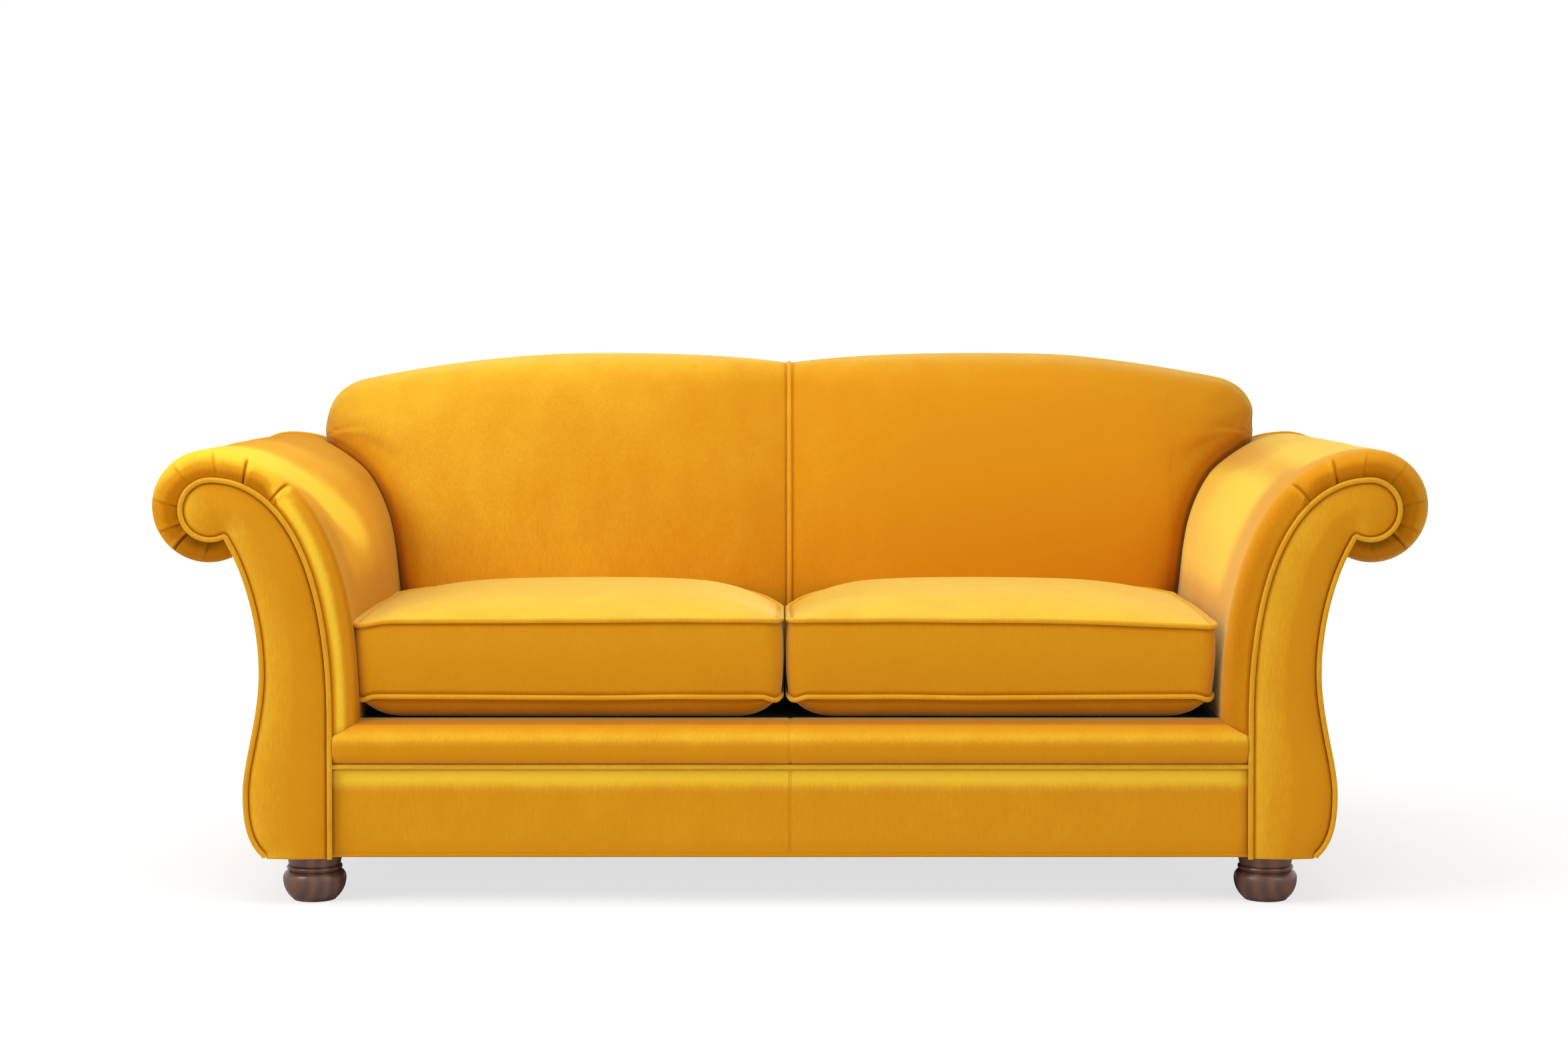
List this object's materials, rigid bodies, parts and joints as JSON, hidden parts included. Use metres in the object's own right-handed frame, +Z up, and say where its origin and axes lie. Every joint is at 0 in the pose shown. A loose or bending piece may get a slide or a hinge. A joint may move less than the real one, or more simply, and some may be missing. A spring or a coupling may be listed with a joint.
{
  "type": "two-seat upholstered scroll-arm sofa",
  "caption": "Upholstered sofa with outward-rolled scroll arms, a crowned tight back, loose piped seat cushions and turned wooden bun feet.",
  "frame": {"origin": "on the floor, under the middle of the sofa (bottom centre of its box)", "axes": "+X to the right as seen from in front, +Y from the front to the back, +Z up"},
  "size_m": [2.0998, 0.905, 0.8869],
  "materials": {
    "velvet": "mustard-yellow velvet",
    "piping": "mustard-yellow velvet over cord",
    "foam": "cream polyurethane foam",
    "frame_timber": "planed hardwood, unfinished",
    "board": "plywood and hardboard",
    "steel": "bare steel wire and fixings",
    "webbing": "woven jute",
    "dust_cloth": "black lining cloth",
    "foot_wood": "dark walnut stain, satin lacquer"
  },
  "bodies": {
    "sofa": {"front_rail": "frame_timber", "rear_rail": "frame_timber", "side_rail_left": "frame_timber", "side_rail_right": "frame_timber", "centre_rail": "frame_timber", "corner_blocks": "frame_timber", "arm_front_board_left": "board", "arm_front_board_right": "board", "arm_rear_board_left": "board", "arm_rear_board_right": "board", "arm_rails_left": "frame_timber", "arm_rails_right": "frame_timber", "arm_bottom_rail_left": "frame_timber", "arm_bottom_rail_right": "frame_timber", "back_posts": "frame_timber", "back_centre_post": "frame_timber", "back_top_rail": "frame_timber", "back_tuck_rail": "frame_timber", "seat_springs": "steel", "spring_clips": "steel", "spring_ties": "steel", "back_webbing": "webbing", "deck_foam": "foam", "lip_foam": "foam", "arm_panel_left": "board", "arm_panel_right": "board", "arm_foam_left": "foam", "arm_foam_right": "foam", "arm_cover_left": "velvet", "arm_cover_right": "velvet", "arm_outside_left": "velvet", "arm_outside_right": "velvet", "arm_facing_left": "velvet", "arm_facing_right": "velvet", "arm_piping_left": "piping", "arm_piping_right": "piping", "back_foam_left": "foam", "back_foam_right": "foam", "back_cover_left": "velvet", "back_cover_right": "velvet", "back_piping": "piping", "outside_back": "velvet", "lip_cover": "velvet", "front_panel": "velvet", "front_piping": "piping", "deck_cloth": "dust_cloth", "dust_cover": "dust_cloth", "foot_front_left": "foot_wood", "foot_front_right": "foot_wood", "foot_rear_left": "foot_wood", "foot_rear_right": "foot_wood", "foot_bolts": "steel", "tee_nuts": "steel"},
    "cushion_left": {"cushion_foam_left": "foam", "cushion_cover_left": "velvet", "cushion_piping_left": "piping"},
    "cushion_right": {"cushion_foam_right": "foam", "cushion_cover_right": "velvet", "cushion_piping_right": "piping"}
  },
  "joints": [
    {"name": "left_cushion_lift", "type": "slide", "parent": "sofa", "child": "cushion_left", "axis": [0, -0.3489, 0.9372], "range_m": [0, 0.6]},
    {"name": "right_cushion_lift", "type": "slide", "parent": "sofa", "child": "cushion_right", "axis": [0, -0.3489, 0.9372], "range_m": [0, 0.6]}
  ]
}
